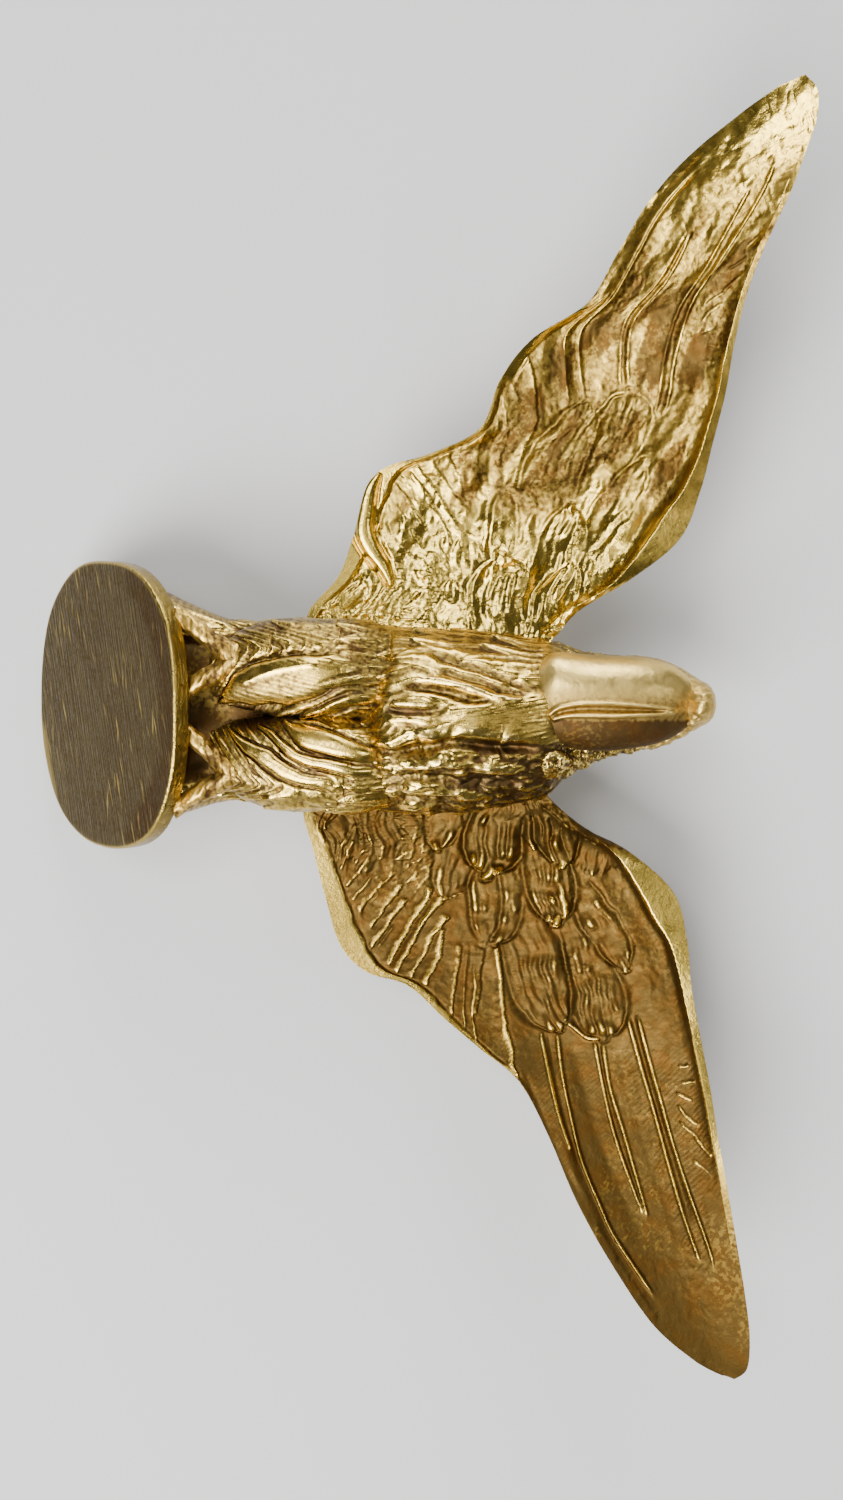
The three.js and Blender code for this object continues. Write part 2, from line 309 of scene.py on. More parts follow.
def ring_faces(count, width):
    """Quads between rings of width points, with both end rings closed by strips across."""
    rings = np.arange(count - 1)[:, None] * width
    here = np.arange(width)[None, :]
    there = (here + 1) % width
    side = np.stack([rings + here, rings + there, rings + width + there, rings + width + here], -1)
    k = np.arange(width // 2 - 1)
    facing = width - 1 - k
    first = np.stack([k, facing, facing - 1, k + 1], -1)
    last = np.stack([k, k + 1, facing - 1, facing], -1) + (count - 1) * width
    return np.concatenate([side.reshape(-1, 4), first, last])


def outward(points, faces):
    """The faces, turned over if they enclose a negative volume."""
    corner = points[faces]
    volume = 0
    for b, c in ((1, 2), (2, 3)):
        volume += np.einsum("ij,ij->i", corner[:, 0], np.cross(corner[:, b], corner[:, c])).sum()
    return faces if volume > 0 else faces[:, ::-1]


def grid_normals(points):
    """Normals of a grid of rings that close on themselves."""
    along = np.gradient(points, axis=0)
    around = np.roll(points, -1, 1) - np.roll(points, 1, 1)
    normal = np.cross(around, along)
    return normal / np.maximum(np.linalg.norm(normal, axis=-1, keepdims=True), 1e-12)


class Body:
    """A rounded body through section rows, with a height map over it in millimetres.

    turn is the angle round it from the middle of the belly, and arc the distance."""

    def __init__(self, rows, squareness, side=1, steps=300, sides=360):
        rows = smooth_rows(rows, steps)
        turn = (np.arange(sides) + 0.5) / sides * 2 * np.pi
        middle = (rows[:, 3] + rows[:, 4]) / 2
        depth = (rows[:, 3] - rows[:, 4]) / 2
        across = side * rows[:, 1:2] + rows[:, 2:3] * signed_power(np.cos(turn), 2 / squareness)
        belly = middle[:, None] + depth[:, None] * signed_power(np.sin(turn), 2 / squareness)
        along = np.repeat(rows[:, :1], sides, 1)
        self.points = to_row(across, belly, along)
        normal = grid_normals(self.points)
        centre = self.points.mean(1, keepdims=True)
        if np.einsum("ijk,ijk->", normal, self.points - centre) < 0:
            normal = -normal
        self.normal = normal
        self.along = along
        self.across = across
        self.belly = belly
        self.radius = (rows[:, 2:3] + depth[:, None]) / 2
        self.turn = (turn[None, :] - np.pi / 2 + np.pi) % (2 * np.pi) - np.pi + 0 * along
        self.arc = self.turn * self.radius
        self.height = np.zeros_like(along)

    def raised(self, height):
        return self.points + self.normal * height[..., None] * MM

    def build(self, name, relief_scale, polish=0.0, floor_height=None, darker=0.0):
        height = np.clip(self.height, -BODY_RELIEF, BODY_RELIEF)
        points = self.raised(height)
        if floor_height is not None:
            points[..., 2] = np.maximum(points[..., 2], floor_height * MM)
        # darker is painted shade: it is taken off the relief, so the brass paints it brown like its hollows.
        relief = np.clip(0.5 + relief_of(height, relief_scale) - darker, 0, 1)
        flat = points.reshape(-1, 3)
        faces = outward(flat, ring_faces(*self.along.shape))
        shine = np.zeros_like(height) + polish
        return mesh_object(name, flat, faces, relief, shine)


def blur(grid, size):
    """A box blur repeated three times, wrapping on the second axis only."""
    for _ in range(3):
        padded = np.pad(grid, ((size + 1, size), (0, 0)), "edge")
        total = np.cumsum(padded, 0)
        grid = (total[2 * size + 1:] - total[:-2 * size - 1]) / (2 * size + 1)
        padded = np.pad(grid, ((0, 0), (size + 1, size)), "wrap")
        total = np.cumsum(padded, 1)
        grid = (total[:, 2 * size + 1:] - total[:, :-2 * size - 1]) / (2 * size + 1)
    return grid


def relief_of(height, scale):
    """How far each point stands above or below its neighbourhood."""
    return (height - blur(height, 6)) / scale * 0.5 + (height - blur(height, 2)) / scale * 0.8


# ------ wings
def edge_lift(across):
    out = np.maximum(0, (across - LIFT_START) / (SPAN - LIFT_START))
    return ROOT_LIFT + TIP_LIFT * out**LIFT_POWER


def trail_drop(across):
    out = np.clip((across - TRAIL_START) / (SPAN - TRAIL_START), 0, 1)
    return TRAIL_DROP * np.sin(np.pi * out**0.7)


# The lines of a wing's relief are across and along on the left wing's plan, then any values.
SHAFTS = [
    # both rails of each long flight feather's shaft, and how high they stand
    ([(41.6, 58.9), (47.5, 60.3), (52.1, 61.7), (55.4, 63.1)], 0.5),
    ([(41.6, 61.1), (46.8, 61.9), (52.1, 63.2), (56.6, 64.5), (61.4, 66.8), (65, 68.8), (71, 73.6)], 0.6),
    ([(42.4, 66), (46.4, 66.9), (51.9, 68.2), (56.3, 69.7), (62.8, 72.5)], 0.45),
    ([(42.6, 67.1), (47.7, 68), (53, 69.8), (57.4, 71.2), (62.8, 72.9)], 0.5),
    ([(38.4, 70), (44.7, 71.9), (50, 73.6), (56.4, 75.5), (62, 77.3), (67.1, 79.3)], 0.45),
    ([(38.2, 71.3), (44, 73), (48.8, 74.5), (53.4, 75.9), (58.5, 77.7), (66.5, 80.8), (69.2, 81.4)], 0.55),
]
SWELLING_SHAFT = SHAFTS[1][0]
GROOVES = [
    # middle line, width and depth
    ([(42, 60), (48, 61.2), (53, 62.6), (57, 64.2)], 0.35, 0.35),
    ([(42.5, 66.5), (48, 67.5), (54, 69.3), (62, 72.4)], 0.3, 0.35),
    ([(38.4, 70.7), (46, 72.9), (54, 75.4), (63, 78.4)], 0.35, 0.4),
    ([(46.5, 56.8), (52, 59.6), (58, 62.8), (64, 66.6)], 0.5, 0.25),
    ([(43, 63.2), (50, 65.3), (58, 68.4), (66, 72.6)], 0.9, 0.25),
    ([(43, 69.3), (50, 71.3), (58, 74.2), (66, 77.6)], 0.9, 0.25),
]
VEES = [
    (37.7, 56.3), (39.9, 58.8), (41.1, 60.8), (40.2, 62.1), (41.4, 64.1), (42.1, 65.5), (41.4, 67.4),
    (37.8, 69.8)]
BARBS = [
    ((44.5, 76.7), (43.9, 78.2)), ((46.3, 76.9), (45.8, 78.7)), ((50.8, 76.8), (53.9, 79.9)),
    ((49.2, 76.6), (51.2, 79.4)), ((52.8, 78.4), (54.8, 80.9)), ((55.4, 78.6), (57, 81)),
    ((58.4, 80.2), (60, 81.8)), ((47.8, 76.2), (48.6, 78.6))]
PANELS = [
    # the long edges of the inner flight feathers, from root to trailing edge, and how far each stands
    ([(20, 31), (14.5, 33.5)], 0.2), ([(22.8, 37.9), (27.2, 34.4)], 0.35),
    ([(22.9, 40.3), (29.4, 35.6)], 0.35), ([(25, 40.8), (31.9, 36)], 0.45),
    ([(23.4, 44.3), (26.4, 42.8), (30.6, 40.2), (34, 38.6)], 0.55),
    ([(23.6, 48.2), (25.8, 45), (31.7, 41.2), (35, 39.8)], 0.5),
    ([(26.8, 46.6), (31.6, 43.7), (35.6, 41.8)], 0.45), ([(28.6, 46), (32.8, 45.3), (36.6, 43.6)], 0.5),
    ([(30.4, 48.3), (36, 47.7), (40.2, 47.2)], 0.3), ([(30.7, 51.3), (35, 51), (40, 50.6)], 0.35),
    ([(29.9, 53.2), (37.8, 54.1), (45, 55.5), (47.4, 56.4)], 0.6),
]
FINE_SHAFTS = [
    [(30.4, 49), (36, 48.8), (42.2, 48.8)], [(30.2, 49.9), (35.3, 50.1), (40.3, 50.1), (44, 50.9)],
    [(28.6, 38.9), (31.4, 37)], [(21.2, 39), (25.8, 36)], [(26.6, 44), (31, 41.8)],
    [(17, 33.6), (21.6, 31.6)], [(19, 35.6), (24, 32.6)], [(21, 36.6), (25.6, 33.6)]]
COVERTS = [
    # middle line with half widths, and lift
    ([(24.5, 62.2, 1.7), (31.5, 64.6, 2.4), (37.5, 66.3, 3.4), (40.6, 66.9, 2.3), (41.8, 67.1, 0.6)], 0.95),
    ([(25.5, 55.6, 2.6), (32, 57.8, 3.5), (37, 59.3, 3.5), (39.9, 60.6, 2.1), (41, 61.2, 0.6)], 1),
    ([(21.5, 62.6, 1.5), (26.5, 66.1, 2.0), (30, 68.4, 1.9), (32.6, 69.6, 0.6)], 0.95),
    ([(19, 52.8, 1.7), (24.5, 53.9, 1.9), (28.2, 53.7, 1.7), (30.6, 52.8, 0.5)], 0.8),
    ([(19, 50.4, 1.6), (24.5, 51, 1.9), (28.5, 51.2, 1.5), (30.6, 51.2, 0.4)], 0.9),
    ([(15.5, 47.6, 2.0), (20.5, 46.7, 2.4), (23, 46, 1.7), (24.4, 45.7, 0.5)], 0.7),
    ([(17, 58.4, 2.4), (22, 59.7, 3.0), (25.2, 60.3, 2.4), (27.2, 60.7, 0.7)], 1.3),
    ([(12, 52.6, 3.0), (17.5, 51.9, 3.4), (20, 51.5, 2.6), (21.4, 51.3, 0.8)], 1.7),
    ([(11, 59.2, 2.2), (15.5, 60.4, 2.6), (18.2, 60.9, 1.6), (19.3, 61, 0.5)], 1.5),
    ([(10, 46, 1.8), (14, 45.4, 2.2), (16.8, 44.8, 1.6), (18, 44.6, 0.5)], 0.9),
]
# the polished lip's crest with its height, and the right wing's crescent with its half width
CREST = [
    (11.6, 58.6, 0.5), (13.8, 61.6, 0.8), (16.6, 67.2, 1.3), (21.2, 70.6, 1.7), (25.4, 73, 1.6),
    (28.4, 75, 1.3), (32, 76.2, 1), (38, 77.7, 0.75), (46, 79.6, 0.5), (54, 81.1, 0.35),
    (62, 82.5, 0.3)]
CRESCENT = [
    (33, 34, 0.4), (31, 32.6, 0.9), (28.6, 31.9, 1.15), (26.2, 31.6, 1.25), (23.6, 32.6, 1.2),
    (20.6, 34.4, 1), (17.4, 36, 0.4)]
# the inner border of a flat facet by the tip, and the middle of a stained band
FACET = [(50, 79.3), (57.6, 79.4), (64.2, 80.7), (69.7, 80.9), (73.9, 81.7), (77, 82)]
STAIN = [(54, 62.4), (60.9, 65.9), (65.5, 68.4), (70.3, 72), (74.1, 75.6)]
# the width of the rolled rim at some of the ribs, counted from the root
RIM_RIBS = [0, 1, 2.5, 4, 5, 6, 7.5, 9]
RIM_WIDTHS = [0.4, 1.4, 2.2, 3, 2.2, 1.4, 0.7, 0.4]
RIM_END = 9.5


def wander(x, y, seed):
    return 0.25 * value_noise(x / 2.3, y / 2.3, seed) + 0.1 * value_noise(x / 0.9, y / 0.9, seed + 1)


def flight_feathers(true, x, y):
    """Steps at the long edges of the inner feathers, and shafts with paired rails farther out."""
    height = np.full_like(x, 0.18)
    for points, lift in PANELS:
        distance, side, where, _ = stroke_field(x, y, points)
        # high on the side nearer the tip, with a groove on the other
        step = np.where(side > 0, bell(distance, 1), -0.4 * bell(distance, 0.35))
        height += 0.8 * lift * ends_fade(where, 0.1, 0.12) * step
    for points in FINE_SHAFTS:
        height += ridge(x, y, points, 0.17, 0.2)
    for points, lift in SHAFTS:
        height += ridge(*true, points, 0.21, 0.85 * lift, 0.06)
    for points, width, depth in GROOVES:
        height += ridge(*true, points, width, -0.7 * depth, 0.1)
    distance, side, where, _ = stroke_field(*true, SWELLING_SHAFT)
    swell = smoothstep(where, 0, 0.25) * smoothstep(1 - where, 0, 0.3) * (side > 0)
    height += 0.5 * swell * bell(distance - 1.5, 1.3)
    height += ridge(*true, VEES, 0.24, 0.42, 0.03)
    for points in BARBS:
        height += ridge(x, y, points, 0.18, 0.25)
    return height


def root_locks(x, y):
    """Matted down between the body and the coverts, and combed feathers that fan out behind it."""
    matted = locks(y + 1.2 * value_noise(x / 3, y / 3, 8), -x + 0.5 * y, 4.2, 1.3, 17)
    fan_x = x - FAN_CENTRE[0]
    fan_y = y - FAN_CENTRE[1]
    turned = np.degrees(np.arctan2(fan_y, fan_x)) / 7.5 + 0.5 * value_noise(x / 4, y / 4, 18)
    combed = locks(turned, -np.hypot(fan_x, fan_y), 5.5, 1.0, 19)
    matted = smoothstep(25 - x, 0, 8) * (0.6 * matted - 0.1)
    return matted + 0.4 * combed * smoothstep(24 - x, -10, 4) * smoothstep(48 - y, -2, 6)


def right_wear(x, y, from_trail):
    """The right wing's soft lumps of wear, drawn out along its feathers, and its brown blotches."""
    run = 0.9 * x + 0.43 * y
    off = 0.9 * y - 0.43 * x
    blotch = value_noise(run / 6, off / 2.6, 85) + 0.35 * value_noise(run / 2.5, off / 0.7, 86)
    blotch = smoothstep(blotch, 0, 0.4) * smoothstep(x, 22, 32) * smoothstep(68 - x, 0, 10)
    lumps = 0.5 * value_noise(run / 5, off / 2.8, 81) + 0.13 * value_noise(run / 2.2, off / 1.1, 82)
    dents = 0.10 * np.abs(value_noise((run - off) / 2.2, (run + off) / 0.8, 83))
    return lumps - dents, blotch * smoothstep(from_trail, 2, 7)


def wing_relief(x, y, u, from_lead, from_trail, is_right):
    """Height of the underside's relief, how polished it is (0 to 1, on the right wing partly painted sheen),
    and how much darker, mostly painted shade and partly stains.

    x and y are on the left wing's plan, u runs from its root to its tip."""
    true = x, y
    # Lines drawn in places that wander a little look worked by hand.
    x = x + wander(*true, 71)
    y = y + wander(*true, 73)
    height = flight_feathers(true, x, y)
    outer = smoothstep(x, 40, 44) * smoothstep(70 - x, 0, 5)
    barb_lines = np.sin((x * 0.9 + y) * 2 * np.pi / 0.62 + 1.5 * value_noise(x / 2, y / 2, 5))
    height += 0.02 * outer * barb_lines

    # The hollow behind the leading edge, under the last coverts.
    to_crest, side, _, (crest,) = stroke_field(*true, CREST)
    beyond_crest = side < 0
    hollow = smoothstep(4.6 - to_crest, 0, 2.4) * smoothstep(x, 15, 20) * smoothstep(42 - x, 0, 10)
    height = blended(height, -0.35, hollow) + root_locks(x, y)
    for points, lift in COVERTS:
        height = feather(height, x, y, points, 0.85 * lift)
    blotch = 0
    if is_right:
        lumps, blotch = right_wear(x, y, from_trail)
        height = 0.5 * height + lumps * (0.35 + 0.65 * smoothstep(u, 0.05, 0.2))

    # Cast skin, smooth towards the tip.
    grain = 0.05 * rough_noise(x, y, 0.7, 11) * (1 - 0.4 * outer) + 0.07 * value_noise(x / 2.5, y / 2.5, 13)
    height += grain * (1 - 0.6 * smoothstep(x, 70, 77))

    # The lip along the leading edge: a crest, and a facet that falls from it to the edge.
    crest_fade = smoothstep(u, 0.03, 0.06) * smoothstep(0.86 - u, 0, 0.3)
    facet = crest * (0.15 + 0.85 * from_lead / np.maximum(to_crest + from_lead, 0.3))
    facet = facet + smoothstep(17.5 - x, 0, 2) * (0.25 * rough_noise(x, y, 1.1, 21))
    inner = crest * bell(to_crest, 0.45) - 0.25 * bell(to_crest - 1.5, 0.9)
    lipped = blended(height, facet, crest_fade)
    height = np.where(beyond_crest, lipped, height + inner * crest_fade)
    distance, side, _, _ = stroke_field(*true, FACET)
    flat = smoothstep(np.where(side < 0, distance, -distance), -0.5, 0.35) * smoothstep(x, 52, 62)
    flat = flat * (not is_right)
    height = blended(height, 0.2 + 0.15 * grain, flat)
    stained = ridge(*true, STAIN, 0.6, 1, 0.2) * smoothstep(from_trail, 0.8, 1.6)
    height -= 0.15 * stained

    # The smooth rolled rim round the trailing root.
    rib = u * (len(LEFT_RIBS) - 1)
    width = np.interp(rib, RIM_RIBS, RIM_WIDTHS)
    fade = smoothstep(RIM_END - rib, 0, 1)
    rim = smoothstep(width - from_trail + 0.25 * value_noise(x / 1.5, y / 1.5, 75), -0.3, 0.3) * fade
    height = blended(height, 0.45, rim) - 0.12 * (bell(from_trail - width - 0.3, 0.35) * fade)
    lip = crest_fade * smoothstep(x, 15.5, 18.5) * beyond_crest
    shine = np.maximum.reduce([(0.55 if is_right else 0.85) * lip, 0.6 * rim, 0.1 * flat])
    if is_right:
        # It rolls over into a smooth crescent, and widens again by the notch.
        distance, _, _, (half,) = stroke_field(*true, CRESCENT)
        r = distance / half
        band = smoothstep(1 - r, 0, 0.2)
        height = blended(height, 0.45 + 0.75 * dome(r), band) - 0.4 * bell(r - 1.25, 0.25)
        roll = smoothstep(1.9 - from_trail, -0.4, 0.6) * smoothstep(x, 42, 45) * smoothstep(55 - x, 0, 3)
        height = blended(height, 0.7 * np.cos(np.clip(from_trail / 2.2, 0, 1) * np.pi / 2), roll)
        # Polished wear that is also painted sheen: the right wing is made pale and glossy near its root and
        # towards its tip.
        wear_and_sheen = 0.9 - 0.5 * smoothstep(u, 0.15, 0.5) + 0.35 * smoothstep(u, 0.65, 0.95)
        shine = np.maximum.reduce([shine, band, roll, wear_and_sheen * (1 - 0.8 * blotch)])
    # Painted shade: the underside is made darker all over, more over the coverts, by the body and in the
    # hollow behind the crest. The stained band and the blotches are real stains. Where it shines, less of it
    # shows.
    covered = smoothstep(43 - x, 0, 4) * smoothstep(y - 0.25 * x, 38, 45)
    near_body = smoothstep(22 - x, 0, 9)
    darker = 0.2 + 0.36 * covered + 0.32 * near_body + 0.2 * hollow + 0.3 * stained + 0.35 * blotch
    return height, shine, (1 - shine) * darker


BACK_ROWS = [
    # place of a row's tips as a share of the chord, how many feathers, half width, lift
    (0.62, 11, 2.7, 0.85), (0.42, 13, 2.2, 1.1), (0.26, 15, 1.8, 1.3), (0.13, 17, 1.5, 1.45)]
BACK_FEATHER = 0.2  # length of a feather in these rows


def wing_back_relief(x, y, u, v):
    """The upper side: rows of small round coverts over long flight feathers."""
    fan = np.degrees(np.arctan2(y - FAN_CENTRE[1], x - FAN_CENTRE[0]))
    inner = np.abs(np.sin(fan / 9 * np.pi / 2)) ** 0.5
    outer_lines = np.abs(np.sin(v * np.pi * 5 + 0.5)) ** 0.5
    outer = smoothstep(x + 0.35 * (y - 60), 36, 44)
    height = 0.5 * blended(inner, outer_lines, outer)
    height += 0.04 * np.sin((x * 0.9 + y) * 2 * np.pi / 0.7) * outer
    for row, (depth, count, half_width, lift) in enumerate(BACK_ROWS):
        for k in range(count):
            along_wing = 0.04 + (0.86 - row * 0.03) * (k + 0.5 * (row % 2)) / count
            t = (v - depth + BACK_FEATHER) / BACK_FEATHER
            q = (u - along_wing) * WING_LENGTH / half_width
            width = np.where(t < 0.5, 1.0, dome((t - 0.5) / 0.5))
            inside = (t > -0.3) & (t < 1) & (np.abs(q) < width)
            r = np.abs(q) / np.maximum(width, 1e-3)
            top = lift * (0.6 + 0.4 * t) * smoothstep(1 - r, 0, 0.2) + 0.15 * bell(q, 0.12)
            height = np.where(inside, np.maximum(height, top), height)
    return height * 0.8 + 0.06 * rough_noise(x, y, 1.2, 31)


def build_wing(name, ribs_table, side):
    """A wing through its ribs. The relief of both is drawn on the left wing's plan."""
    span_steps, chord_steps = WING_STEPS
    ribs = smooth_rows(ribs_table, span_steps)
    left_ribs = smooth_rows(LEFT_RIBS, span_steps)
    u = np.linspace(0, 1, span_steps + 1)[:, None]
    # v runs from the leading to the trailing edge, in finer steps near both.
    v = (0.5 - 0.5 * np.cos(np.pi * np.linspace(0.02, 0.98, chord_steps + 1)))[None, :]
    v = (v - v.min()) / (v.max() - v.min())
    across = blended(ribs[:, 0:1], ribs[:, 2:3], v)
    along = blended(ribs[:, 1:2], ribs[:, 3:4], v)
    x = blended(left_ribs[:, 0:1], left_ribs[:, 2:3], v)
    y = blended(left_ribs[:, 1:2], left_ribs[:, 3:4], v)
    chord = np.hypot(left_ribs[:, 0] - left_ribs[:, 2], left_ribs[:, 1] - left_ribs[:, 3])[:, None]
    bulge = np.sin(np.pi * v)
    lead = edge_lift(ribs[:, 0:1])
    trail = edge_lift(ribs[:, 2:3]) - trail_drop(ribs[:, 2:3])
    belly = blended(lead, trail, v) - CAMBER * bulge * np.minimum(1, chord / FULL_CAMBER_CHORD)
    thick = EDGE_THICK + (MIDDLE_THICK - EDGE_THICK) * bulge
    from_lead = v * chord * EDGE_SLANT
    from_trail = (1 - v) * chord * EDGE_SLANT

    front, shine, darker = wing_relief(x, y, u, from_lead, from_trail, side < 0)
    back = wing_back_relief(x, y, u, v) * smoothstep(np.minimum(from_lead, from_trail), 0, 1.2)
    under = belly - RELIEF_SINK + front
    over = np.minimum(belly - thick + BACK_SINK - back * 0.6, under - LEAST_THICK)
    under_points = to_row(side * across, under, along)
    over_points = to_row(side * across, over, along)
    rings = np.concatenate([under_points, over_points[:, ::-1]], 1)
    # darker, mostly painted shade and partly stains, is taken off the relief.
    relief = np.clip(0.5 + (1 - 0.6 * shine) * relief_of(front, 0.62) - darker, 0, 1)
    back_relief = np.clip(0.5 + relief_of(back, 0.5), 0, 1)
    flat = rings.reshape(-1, 3)
    faces = outward(flat, ring_faces(*rings.shape[:2]))
    relief = np.concatenate([relief, back_relief[:, ::-1]], 1)
    shine = np.concatenate([shine, np.full_like(shine, 0 if side > 0 else 0.3)], 1)
    return mesh_object(name, flat, faces, relief, shine)


# ------ body pieces
def front_of(body):
    """1 on the belly side of a body, 0 on its back."""
    return smoothstep(np.cos(body.turn), 0.0, 0.35)


def plumage(body, coarse, fine, seed, length=7.0, width=2.1):
    """Sculpted feathers all over a body, wandering as they run towards the tail."""
    along = body.along
    across = body.across
    around = 2 * np.pi * body.radius.mean()
    width = around / round(around / width)
    arc = body.turn * body.radius.mean()
    warped = arc + 1.6 * value_noise(across / 5, along / 7, seed)
    warped = warped + 0.7 * value_noise(across / 2, along / 3.5, seed + 1)
    slid = along + 1.2 * value_noise(across / 4, along / 6, seed + 2)
    body.height += coarse * locks(warped, slid, length, width, seed + 3)
    body.height += fine * locks(warped + 0.7, slid, length * 0.55, width * 0.5, seed + 4)
    body.height += 0.05 * strands(warped, slid, 0.55, 5, seed + 5)
    body.height += 0.06 * rough_noise(across, along, 0.9, seed + 6)


def smooth_throat(body, front, lift):
    """Smooths and lifts the swelling that runs up the throat to the beak, and returns where it is."""
    half = np.interp(body.along, [44, 49, 54, 60], [0.4, 1.8, 2.9, 3.2])
    throat = smoothstep(1.25 - np.abs(body.across + 0.7) / half, 0, 0.6) * smoothstep(body.along, 44, 50)
    throat = throat * front
    body.height = body.height * (1 - 0.8 * throat) + lift * throat
    return throat


BREAST_MARKS = [
    # long folds of the breast: middle line, width and lift
    ([(-4.4, 40.5), (-3.9, 45), (-2.7, 49.5), (-1.8, 53)], 0.55, -0.9),
    ([(-8.2, 43), (-7, 48), (-5.8, 52), (-3.8, 56.5)], 0.5, -0.6),
    ([(-6.4, 44), (-5.4, 48.5), (-4, 53), (-2.8, 56.5)], 0.45, -0.5),
    ([(4.6, 37.5), (3.2, 42.6), (2.4, 47.5), (3, 52.4), (2.6, 58.3)], 0.8, -1.2),
    ([(6.8, 39), (6.4, 44), (7.6, 50), (7, 56)], 0.6, -0.7),
    ([(-1.6, 38), (-1.2, 42), (-1.8, 46)], 0.5, -0.6),
    ([(-5.2, 42), (-4.7, 46.5), (-3.4, 51), (-2.4, 55.5)], 0.5, 0.45),
    ([(5.4, 40), (4.9, 45), (5.2, 50.5), (5.2, 56)], 0.7, 0.6),
    ([(8.2, 40), (8.4, 46), (8.8, 52)], 0.7, 0.5),
]


def build_trunk():
    body = Body(TRUNK, 2.2)
    plumage(body, 0.8, 0.2, 3, length=10, width=3.0)
    x, y = body.across, body.along
    front = front_of(body)
    flecked = front * smoothstep(x, 2, 4.5)
    flecks = 0.35 * rough_noise(x, y / 1.6, 1.3, 37) + 0.25 * locks(x + 0.3 * y, y, 4, 1.1, 38)
    body.height += flecked * flecks
    body.height *= 1 - 0.35 * front * smoothstep(1 - x, 0, 3)
    marks = 0
    for points, width, lift in BREAST_MARKS:
        marks = marks + ridge(x, y, points, width, lift, 0.2)
    body.height += front * marks
    throat = smooth_throat(body, front, 0.65)
    body.height += throat * 0.07 * strands(x + 0.2 * y, y, 0.6, 6, 35)
    body.height *= smoothstep(61 - y, 0, 4) * 0.75 + 0.25
    # Painted shade: the front is made darker towards the left side, beside the left wing.
    return body.build("trunk_feathers", 0.55, darker=0.24 * front * smoothstep(x, 1.5, 5))


def build_tail():
    body = Body(TAIL, 2.6)
    plumage(body, 0.7, 0.2, 8, length=7, width=2.6)
    x, y = body.across, body.along
    half = np.abs(x).max(1, keepdims=True)
    fan = x / half * TAIL_FEATHERS / 2 + 0.12 * value_noise(x / 5, y / 6, 84)
    q = 2 * (fan - np.round(fan))
    vane = 0.75 * dome(q) - 0.35
    vane = vane + 0.25 * bell(q, 0.1) + 0.02 * np.sin((y + 1.5 * np.abs(q)) * 2 * np.pi / 0.8)
    long_feathers = smoothstep(20 - y + 2.5 * np.cos(fan * np.pi), 0, 1.5)
    body.height = blended(body.height, vane, long_feathers)
    # hollows on the front, between the legs and behind each foot, painted darker as well: painted shade
    middle = smoothstep(2.6 - np.abs(x), 0, 1.4) * smoothstep(26 - y, 0, 5) * smoothstep(y, 6, 9)
    beside = smoothstep(10.5 - np.abs(x), 0, 1.6) * smoothstep(18 - np.abs(y - 14) * 4, 0, 6)
    pits = np.maximum(middle, beside) * front_of(body)
    body.height = blended(body.height, -1.5, pits)
    return body.build("tail_feathers", 0.45, floor_height=TAIL_FLOOR, darker=0.5 * pits)


# smooth lobes on the front of each thigh, by side: middle line with half widths, and lift
THIGH_LOBES = {
    1: [([(4.4, 38, 0.8), (3.6, 33, 1.3), (2, 29, 1.1), (0.7, 25.6, 0.2)], 0.75),
        ([(6.6, 38, 0.6), (5.9, 32, 0.8), (3.8, 26.6, 0.7), (1.4, 22.2, 0.2)], 0.55),
        ([(8.4, 33, 0.5), (7.0, 27.5, 1.1), (4.4, 22, 0.9), (1.8, 18.2, 0.2)], 0.6)],
    -1: [([(-3.6, 38.5, 0.8), (-3, 34, 1.2), (-1.6, 30, 0.9), (-0.5, 27.4, 0.2)], 0.8),
         ([(-5.4, 36, 0.8), (-4.0, 31.5, 1.1), (-2.2, 27.8, 0.8), (-0.7, 24.6, 0.2)], 0.9),
         ([(-6.2, 35, 1), (-5.7, 30.5, 2.2), (-4.7, 25.4, 2.6), (-3.4, 20.8, 1.8), (-2.1, 17.4, 0.2)], 1.3)],
}


def build_thigh(name, side, seed):
    """A thigh with feathers that sweep in towards the middle down the leg."""
    body = Body(THIGH, 2.5, side)
    front = front_of(body)
    x, y = body.across, body.along
    out = side * x
    swept = out + 0.036 * np.clip(36 - y, 0, 30) ** 2 * smoothstep(11 - out, 0, 3)
    swept = swept + 0.35 * value_noise(x / 2.5, y / 4, seed)
    comb = 0.6 * locks(swept, y, 8, 1.5, seed + 1, 0.06)
    comb = comb + 0.16 * locks(swept + 0.4, y, 5, 0.7, seed + 2, 0.0)
    flank = locks(body.arc + 0.4 * value_noise(body.arc / 3, y / 5, seed + 3), y, 9, 1.5, seed + 4)
    body.height += front * comb + 0.5 * flank * (1 - front)
    body.height += 0.05 * rough_noise(x, y, 0.8, seed + 5)
    across = x + 0.5 * value_noise(x / 3, y / 4, 62) + 0.2 * value_noise(x, y / 2, 63)
    # Points on the back are moved out of the lobes' reach.
    along = y + 0.6 * value_noise(x / 2, y / 3, 64) + 60 * (front < 0.01)
    for points, lift in THIGH_LOBES[side]:
        body.height = lobe(body.height, across, along, points, lift, 0.3 + 0.2 * lift)
    # Painted shade: the front is made darker in the crease by the middle, low on the leg. The right thigh's
    # front is a little darker all over as well.
    darker = 0.6 * front * smoothstep(2.4 - out, 0, 1.6) * smoothstep(29 - y, 0, 5)
    if side < 0:
        body.height += front * ridge(x, y, [(-6.9, 30), (-6, 25), (-4.2, 20.6)], 0.35, 0.2)
        body.height += front * 0.03 * strands(x - 0.2 * y, y, 0.5, 6, 57)
        darker = darker + 0.08 * front
    return body.build(name, 0.55, darker=darker)


# marks on the front of the head: across, along and radius
CHEEK_BEAD = (4.9, 59.2, 1.9)
CHIN_PIT = (0.6, 58.4, 1.0)


